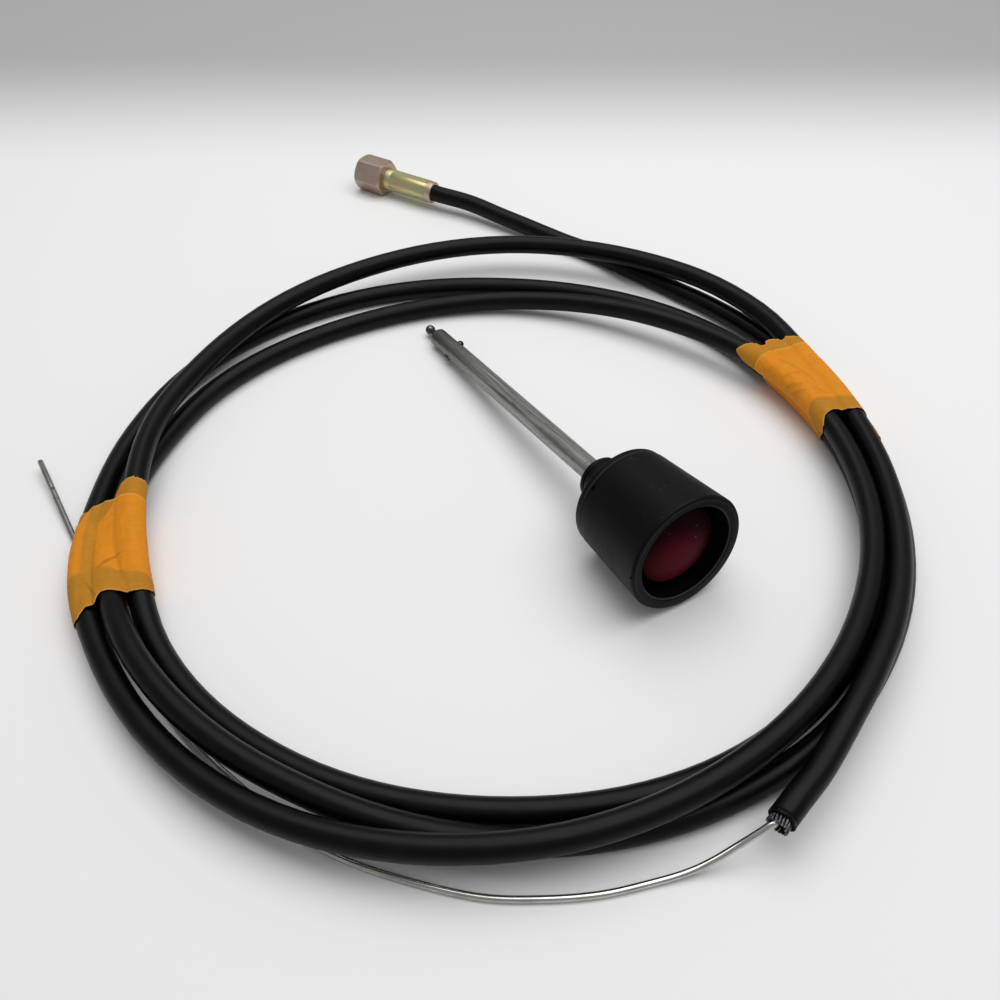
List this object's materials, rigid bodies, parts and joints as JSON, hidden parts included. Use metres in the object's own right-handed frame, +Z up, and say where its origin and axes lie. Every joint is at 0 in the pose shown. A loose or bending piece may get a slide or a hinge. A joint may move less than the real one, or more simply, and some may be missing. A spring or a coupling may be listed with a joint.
{
  "type": "push-button cable release",
  "caption": "Coiled armoured release cable held by tape bands, with a bare core wire, a hexagon coupling nut and a loose push-button locking knob.",
  "frame": {"origin": "centre of the whole part's box at the surface it lies on", "axes": "+Z up from the surface; the knob's button faces -Y and its shaft runs toward +Y; +X to the right seen from the button's side"},
  "size_m": [0.2928, 0.3954, 0.0431],
  "materials": {
    "jacket": "black extruded jacket, satin",
    "armour": "dull grey drawn wire",
    "liner": "black liner",
    "bright_wire": "bright drawn steel",
    "yellow_zinc": "yellow-green passivated zinc",
    "pink_zinc": "pinkish passivated zinc",
    "spring_steel": "plain spring steel",
    "crepe_tape": "orange crepe paper tape",
    "knob_plastic": "black moulded plastic, satin",
    "grey_zinc": "worn grey zinc plate",
    "red_plastic": "deep red plastic, satin",
    "ball_steel": "polished balls"
  },
  "bodies": {
    "cable": {"conduit_coil": "jacket", "conduit_lead": "jacket", "conduit_tail": "jacket", "armour_wires": "armour", "liner_tube": "liner", "core_wire": "bright_wire", "core_wire_tip": "bright_wire", "crimp_ferrule": "yellow_zinc", "ferrule_snap_ring": "spring_steel", "tape_left": "crepe_tape", "tape_right": "crepe_tape"},
    "nut": {"coupling_nut": "pink_zinc"},
    "knob": {"knob_shell": "knob_plastic", "knob_rear_cap": "knob_plastic", "neck_collar": "knob_plastic", "shaft_tube": "grey_zinc", "spring_washer": "spring_steel", "button_spring": "spring_steel"},
    "button": {"release_button": "red_plastic", "plunger_rod": "bright_wire", "stop_ring": "spring_steel"},
    "ball_upper": {"lock_ball_upper": "ball_steel"},
    "ball_lower": {"lock_ball_lower": "ball_steel"}
  },
  "joints": [
    {"name": "nut_turn", "type": "hinge", "parent": "cable", "child": "nut", "pos_m": [0.06628, 0.18015, 0.00795], "axis": [-0.4618, 0.887, 0], "continuous": true},
    {"name": "knob_lift", "type": "slide", "parent": "cable", "child": "knob", "axis": [0, 0, 1], "range_m": [0, 0.06]},
    {"name": "button_press", "type": "slide", "parent": "knob", "child": "button", "axis": [0.0035, 0.9938, -0.1114], "range_m": [0, 0.004], "stiffness_N_per_m": 400, "springref_m": -0.004, "deforming": ["button_spring"]},
    {"name": "ball_upper_in", "type": "slide", "parent": "knob", "child": "ball_upper", "axis": [-0.8483, -0.0561, -0.5266], "range_m": [0, 0.0012]},
    {"name": "ball_lower_in", "type": "slide", "parent": "knob", "child": "ball_lower", "axis": [0.8483, 0.0561, 0.5266], "range_m": [0, 0.0012]}
  ],
  "couplings": [
    {"joint": "ball_upper_in", "follows": "button_press", "ratio": 0.3},
    {"joint": "ball_lower_in", "follows": "button_press", "ratio": 0.3}
  ]
}
